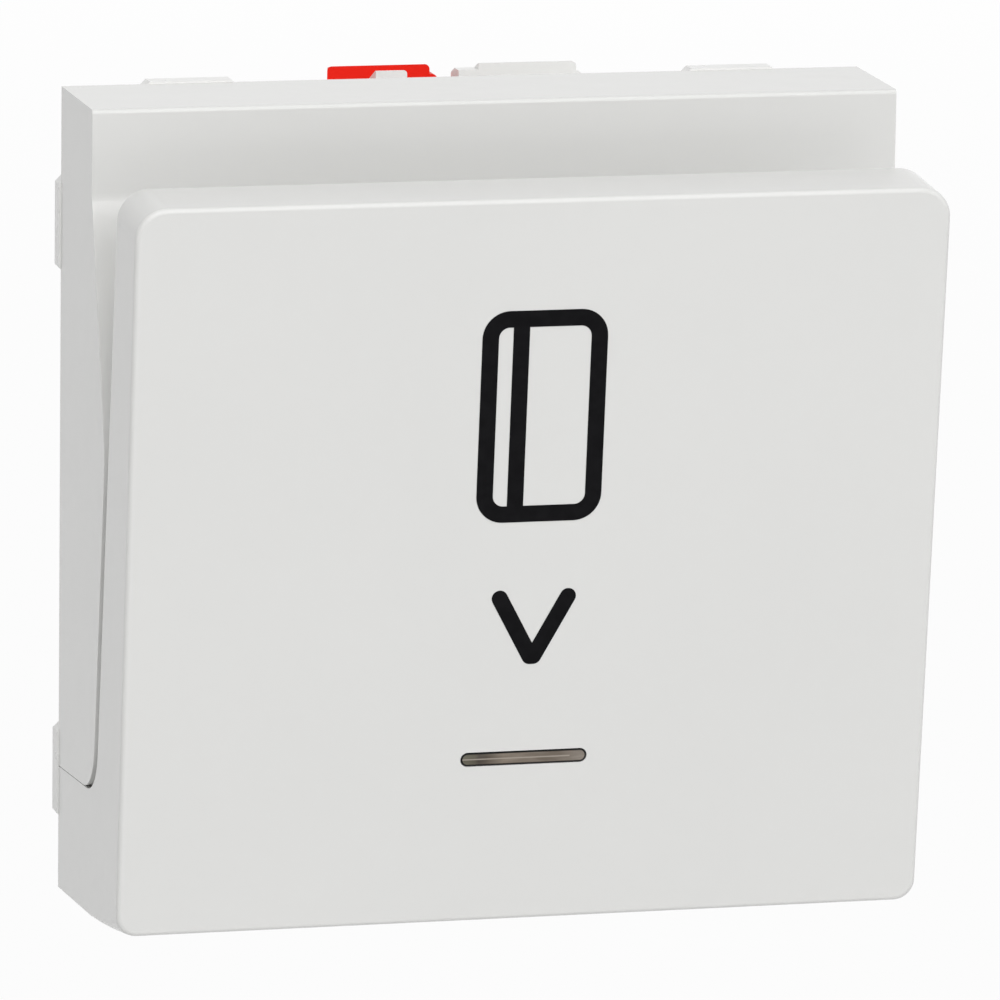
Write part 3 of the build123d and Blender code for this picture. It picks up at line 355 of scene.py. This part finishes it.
def metal(name, colour, roughness, stretch):
    """Rolled metal: fine lines along one axis and uneven shine."""
    material = new_material(name)
    tree = material.node_tree
    shader = tree.nodes["Principled BSDF"]
    shader.inputs["Metallic"].default_value = 1.0
    coordinates = tree.nodes.new("ShaderNodeTexCoord")
    mapping = tree.nodes.new("ShaderNodeMapping")
    mapping.inputs["Scale"].default_value = stretch
    tree.links.new(coordinates.outputs["Object"], mapping.inputs["Vector"])
    lines = tree.nodes.new("ShaderNodeTexNoise")
    lines.inputs["Scale"].default_value = 1.0
    lines.inputs["Detail"].default_value = 3.0
    tree.links.new(mapping.outputs["Vector"], lines.inputs["Vector"])
    low = [part * ROLLED_DARK_SHARE for part in colour]
    tree.links.new(ramp(tree, lines.outputs["Fac"], low, colour), shader.inputs["Base Color"])
    bright, dull = (roughness * share for share in ROLLED_ROUGHNESS_SHARES)
    rough = map_range(tree, lines.outputs["Fac"], bright, dull)
    tree.links.new(rough, shader.inputs["Roughness"])
    add_bump(tree, shader, lines.outputs["Fac"], ROLLED_RELIEF, ROLLED_STRENGTH)
    return material


def calculate(tree, operation, first, second=0.0):
    """Result of one sum on sockets or numbers."""
    node = tree.nodes.new("ShaderNodeMath")
    node.operation = operation
    for socket, value in zip(node.inputs, (first, second)):
        if isinstance(value, float):
            socket.default_value = value
        else:
            tree.links.new(value, socket)
    return node.outputs[0]


def step_up(tree, source, start, end):
    """Number that rises from nothing to one between two values."""
    node = tree.nodes.new("ShaderNodeMapRange")
    node.inputs["From Min"].default_value = start
    node.inputs["From Max"].default_value = end
    tree.links.new(source, node.inputs["Value"])
    return node.outputs["Result"]


def blend(tree, mode, share, first, second):
    """Two colours blended by a share, each a socket or a colour."""
    node = tree.nodes.new("ShaderNodeMix")
    node.data_type = "RGBA"
    node.blend_type = mode
    for name, value in (("Factor", share), ("A", first), ("B", second)):
        if isinstance(value, bpy.types.NodeSocket):
            tree.links.new(value, node.inputs[name])
        else:
            node.inputs[name].default_value = value
    return node.outputs["Result"]


def smoked_lens(name):
    """Smoked clear bar with a painted shadow of the gap round its edge, a darker left part and a thin
    painted highlight streak along it.
    """
    material = new_material(name)
    tree = material.node_tree
    shader = tree.nodes["Principled BSDF"]
    coordinates = tree.nodes.new("ShaderNodeTexCoord")
    split = tree.nodes.new("ShaderNodeSeparateXYZ")
    tree.links.new(coordinates.outputs["Object"], split.inputs["Vector"])
    x = calculate(tree, "SUBTRACT", split.outputs["X"], LENS_X)
    height = calculate(tree, "SUBTRACT", split.outputs["Z"], LENS_Z)
    beyond = calculate(tree, "SUBTRACT", calculate(tree, "ABSOLUTE", x), LENS_STRAIGHT_HALF)
    beyond = calculate(tree, "MAXIMUM", beyond, 0.0)
    along = calculate(tree, "MULTIPLY", beyond, beyond)
    upwards = calculate(tree, "MULTIPLY", height, height)
    distance = calculate(tree, "SQRT", calculate(tree, "ADD", along, upwards))
    half_length = LENS_STRAIGHT_HALF + LENS_END_RADIUS
    fade = tree.nodes.new("ShaderNodeValToRGB")
    for place, shade in LENS_SHADES:
        fade.color_ramp.elements.new(place).color = (*shade, 1)
    fade.color_ramp.elements.remove(fade.color_ramp.elements[0])
    tree.links.new(step_up(tree, x, -half_length, half_length), fade.inputs["Fac"])
    mapping = tree.nodes.new("ShaderNodeMapping")
    mapping.inputs["Scale"].default_value = LENS_GRAIN
    tree.links.new(coordinates.outputs["Object"], mapping.inputs["Vector"])
    streaks = tree.nodes.new("ShaderNodeTexNoise")
    streaks.inputs["Scale"].default_value = 1.0
    streaks.inputs["Detail"].default_value = 4.0
    tree.links.new(mapping.outputs["Vector"], streaks.inputs["Vector"])
    brown = ramp(tree, streaks.outputs["Fac"], LENS_DARK, LENS_LIGHT)
    colour = blend(tree, "MULTIPLY", 1.0, brown, fade.outputs["Color"])
    # Painted highlight: a thin bright streak mixed into the lens colour along its middle
    away = step_up(tree, calculate(tree, "ABSOLUTE", height), LENS_HIGHLIGHT_HALF / 2, LENS_HIGHLIGHT_HALF * 2)
    past = step_up(tree, x, LENS_HIGHLIGHT_END, LENS_HIGHLIGHT_END + LENS_HIGHLIGHT_HALF)
    painted_highlight = calculate(tree, "SUBTRACT", LENS_HIGHLIGHT_SHARE, calculate(tree, "MAXIMUM", away, past))
    painted_highlight = calculate(tree, "MAXIMUM", painted_highlight, 0.0)
    colour = blend(tree, "MIX", painted_highlight, colour, LENS_HIGHLIGHT_COLOUR)
    # Painted shade: the lens's edge is darkened nearly to black where the gap round it lies in shadow
    gap_shade = step_up(
        tree, distance, LENS_END_RADIUS - LENS_GAP_SHADE_WIDTH - LENS_GAP_SHADE_BLUR, LENS_END_RADIUS - LENS_GAP_SHADE_WIDTH
    )
    colour = blend(tree, "MIX", gap_shade, colour, LENS_GAP_SHADE_COLOUR)
    tree.links.new(colour, shader.inputs["Base Color"])
    shader.inputs["Roughness"].default_value = LENS_ROUGHNESS
    shader.inputs["Specular IOR Level"].default_value = LENS_SHINE
    return material


def printed_ink(name):
    """Black printed ink with a slightly uneven, satin film."""
    material = new_material(name)
    tree = material.node_tree
    shader = tree.nodes["Principled BSDF"]
    film = object_noise(tree, INK_SCALE, 3.0)
    black = ramp(tree, film.outputs["Fac"], INK_DARK, INK_LIGHT)
    tree.links.new(black, shader.inputs["Base Color"])
    shader.inputs["Roughness"].default_value = INK_ROUGHNESS
    shader.inputs["Specular IOR Level"].default_value = INK_SHINE
    add_bump(tree, shader, film.outputs["Fac"], INK_RELIEF, INK_STRENGTH)
    return material


def circuit_board(name):
    """Green solder mask with faint copper tracks under it."""
    material = new_material(name)
    tree = material.node_tree
    shader = tree.nodes["Principled BSDF"]
    coordinates = tree.nodes.new("ShaderNodeTexCoord")
    tracks = tree.nodes.new("ShaderNodeTexBrick")
    tracks.inputs["Scale"].default_value = TRACK_SCALE
    tracks.inputs["Mortar Size"].default_value = TRACK_GAP
    tracks.inputs["Color1"].default_value = MASK_DARK
    tracks.inputs["Color2"].default_value = MASK_LIGHT
    tracks.inputs["Mortar"].default_value = TRACK_COLOUR
    turned = tree.nodes.new("ShaderNodeMapping")
    turned.inputs["Rotation"].default_value = (math.pi / 2, 0, 0)
    tree.links.new(coordinates.outputs["Object"], turned.inputs["Vector"])
    tree.links.new(turned.outputs["Vector"], tracks.inputs["Vector"])
    tree.links.new(tracks.outputs["Color"], shader.inputs["Base Color"])
    add_bump(tree, shader, tracks.outputs["Fac"], TRACK_RELIEF, TRACK_STRENGTH)
    shader.inputs["Roughness"].default_value = BOARD_ROUGHNESS
    return material


def finishes():
    """One finished material for each of the record's slots."""
    return {
        "white_gloss": plastic("white_gloss", (0.775, 0.775, 0.76), 0.2, spread=0.006, shine=0.38),
        "white_inner": plastic("white_inner", (0.74, 0.74, 0.725), 0.45, spread=0.02),
        "white_housing": plastic(
            "white_housing", (0.86, 0.86, 0.845), 0.3, spread=0.01, relief=0.0004 * MM
        ),
        "smoked_lens": smoked_lens("smoked_lens"),
        "clear_plastic": plastic("clear_plastic", (0.85, 0.88, 0.88), 0.08, alpha=0.45),
        "lever_plastic": plastic("lever_plastic", (0.68, 0.68, 0.65), 0.4),
        "black_plastic": plastic("black_plastic", (0.012, 0.012, 0.012), 0.45, spread=0.2),
        "button_plastic": plastic("button_plastic", (0.3, 0.02, 0.012), 0.4, spread=0.1),
        "brass": metal("brass", (0.83, 0.62, 0.28), 0.28, (4000.0, 500.0, 500.0)),
        "steel": metal("steel", (0.6, 0.6, 0.6), 0.25, (500.0, 500.0, 4000.0)),
        "tinned_lead": metal("tinned_lead", (0.78, 0.77, 0.74), 0.3, (900.0, 300.0, 900.0)),
        "board_green": circuit_board("board_green"),
        "lamp_white": plastic("lamp_white", (0.8, 0.74, 0.35), 0.2, spread=0.05),
        "resistor_black": plastic("resistor_black", (0.02, 0.02, 0.02), 0.35, spread=0.2),
        "latch_red": plastic("latch_red", (0.86, 0.017, 0.008), 0.35, spread=0.03, shine=0.12),
        "release_grey": plastic("release_grey", (0.22, 0.22, 0.22), 0.4, spread=0.05),
    }


def dress_nodes(frame):
    """Give each carried-over piece the material of its slot."""
    looks = finishes()
    slots = {row["node"]: row["material_slot"] for row in frame["record"]["subparts"]}
    for node, piece in frame["nodes"].items():
        material = looks[slots[node]]
        for slot in piece.material_slots:
            slot.material = material


def add_flexing_springs(frame):
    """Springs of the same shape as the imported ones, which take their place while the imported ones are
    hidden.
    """
    for node, (body, start, end) in FLEXING.items():
        source = frame["nodes"][node]
        piece = bpy.data.objects.new(node + "_flexing", source.data.copy())
        bpy.context.collection.objects.link(piece)
        piece.data.materials.clear()
        piece.data.materials.append(source.material_slots[0].material)
        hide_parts(node)
        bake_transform(piece)


def front_face(frame):
    """Place and outward normal of the cover's front face, from its largest facet."""
    mesh = frame["nodes"]["front_cover"].data
    largest = max(
        (facet for facet in mesh.polygons if facet.normal.y < FRONT_FACING), key=lambda facet: facet.area
    )
    return largest.center.copy(), largest.normal.copy()


def rounded_loop(left, right, foot, top, radius):
    """Corner-rounded rectangle as points, always with the same count."""
    points = []
    centres = (
        (right - radius, top - radius, 0),
        (left + radius, top - radius, 90),
        (left + radius, foot + radius, 180),
        (right - radius, foot + radius, 270),
    )
    for x, z, start in centres:
        for step in range(CORNER_STEPS + 1):
            angle = math.radians(start + 90 * step / CORNER_STEPS)
            points.append((x + radius * math.cos(angle), z + radius * math.sin(angle)))
    return points


def arc(centre, radius, start, sweep):
    """Points on an arc, angles in radians."""
    return [
        (
            centre[0] + radius * math.cos(start + sweep * step / CORNER_STEPS),
            centre[1] + radius * math.sin(start + sweep * step / CORNER_STEPS),
        )
        for step in range(CORNER_STEPS + 1)
    ]


def arrow_loop():
    """Outline of the downward arrow: two strokes whose round ends lie side by side at the foot."""
    half = ARROW_STROKE / 2
    left = (ARROW_CENTRE - ARROW_HALF_WIDTH, ARROW_TOP)
    right = (ARROW_CENTRE + ARROW_HALF_WIDTH, ARROW_TOP)
    left_foot = (ARROW_CENTRE - ARROW_FOOT_HALF, ARROW_FOOT)
    right_foot = (ARROW_CENTRE + ARROW_FOOT_HALF, ARROW_FOOT)
    lean = math.atan2(ARROW_TOP - ARROW_FOOT, ARROW_HALF_WIDTH - ARROW_FOOT_HALF)
    crossing = ARROW_FOOT - ARROW_FOOT_HALF * math.tan(lean)
    points = arc(right, half, lean - math.pi / 2, math.pi)
    points.append((ARROW_CENTRE, crossing + half / math.cos(lean)))
    points += arc(left, half, -lean + math.pi / 2, math.pi)
    points += arc(left_foot, half, -lean - math.pi / 2, lean)
    points += arc(right_foot, half, -math.pi / 2, lean)
    return points


def print_piece(name, loops, closed_ring, place, normal):
    """Thin printed film on the front face, from flat loops of (x, z) points."""
    slope = -normal.z / normal.y
    mesh = bpy.data.meshes.new(name)
    shape = bmesh.new()
    rings = []
    for loop in loops:
        ring = []
        for x, z in loop:
            y = place.y + (z - place.z) * slope
            ring.append(shape.verts.new(Vector((x, y, z)) + normal * PRINT_LIFT))
        rings.append(ring)
    if closed_ring:
        outer, inner = rings
        for index in range(len(outer)):
            following = (index + 1) % len(outer)
            shape.faces.new((outer[index], outer[following], inner[following], inner[index]))
    else:
        shape.faces.new(rings[0])
    film = bmesh.ops.extrude_face_region(shape, geom=list(shape.faces))
    raised = [item for item in film["geom"] if isinstance(item, bmesh.types.BMVert)]
    bmesh.ops.translate(shape, verts=raised, vec=normal * PRINT_THICKNESS)
    bmesh.ops.recalc_face_normals(shape, faces=list(shape.faces))
    shape.to_mesh(mesh)
    shape.free()
    piece = bpy.data.objects.new(name, mesh)
    bpy.context.collection.objects.link(piece)
    return piece


def add_symbol(frame):
    """Printed card with its stripe and the arrow below it."""
    place, normal = front_face(frame)
    ink = printed_ink("printed_ink")
    outer = rounded_loop(CARD_LEFT, CARD_RIGHT, CARD_FOOT, CARD_TOP, CARD_RADIUS)
    inner = rounded_loop(
        CARD_LEFT + CARD_STROKE, CARD_RIGHT - CARD_STROKE,
        CARD_FOOT + CARD_STROKE, CARD_TOP - CARD_STROKE, CARD_RADIUS - CARD_STROKE,
    )
    stripe = [
        (STRIPE_LEFT, CARD_FOOT + CARD_STROKE), (STRIPE_RIGHT, CARD_FOOT + CARD_STROKE),
        (STRIPE_RIGHT, CARD_TOP - CARD_STROKE), (STRIPE_LEFT, CARD_TOP - CARD_STROKE),
    ]
    pieces = (
        print_piece("printed_card", (outer, inner), True, place, normal),
        print_piece("printed_stripe", (stripe,), False, place, normal),
        print_piece("printed_arrow", (arrow_loop(),), False, place, normal),
    )
    for piece in pieces:
        piece.data.materials.append(ink)
        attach(piece, "module")


def add_studio():
    """World, floor and soft lamps."""
    add_world()
    add_floor()
    for lamp in LAMPS:
        add_lamp(*lamp)


bpy.context.scene.view_settings.view_transform = "Standard"
add_camera()
add_studio()
dress_nodes(frame)
add_flexing_springs(frame)
add_symbol(frame)
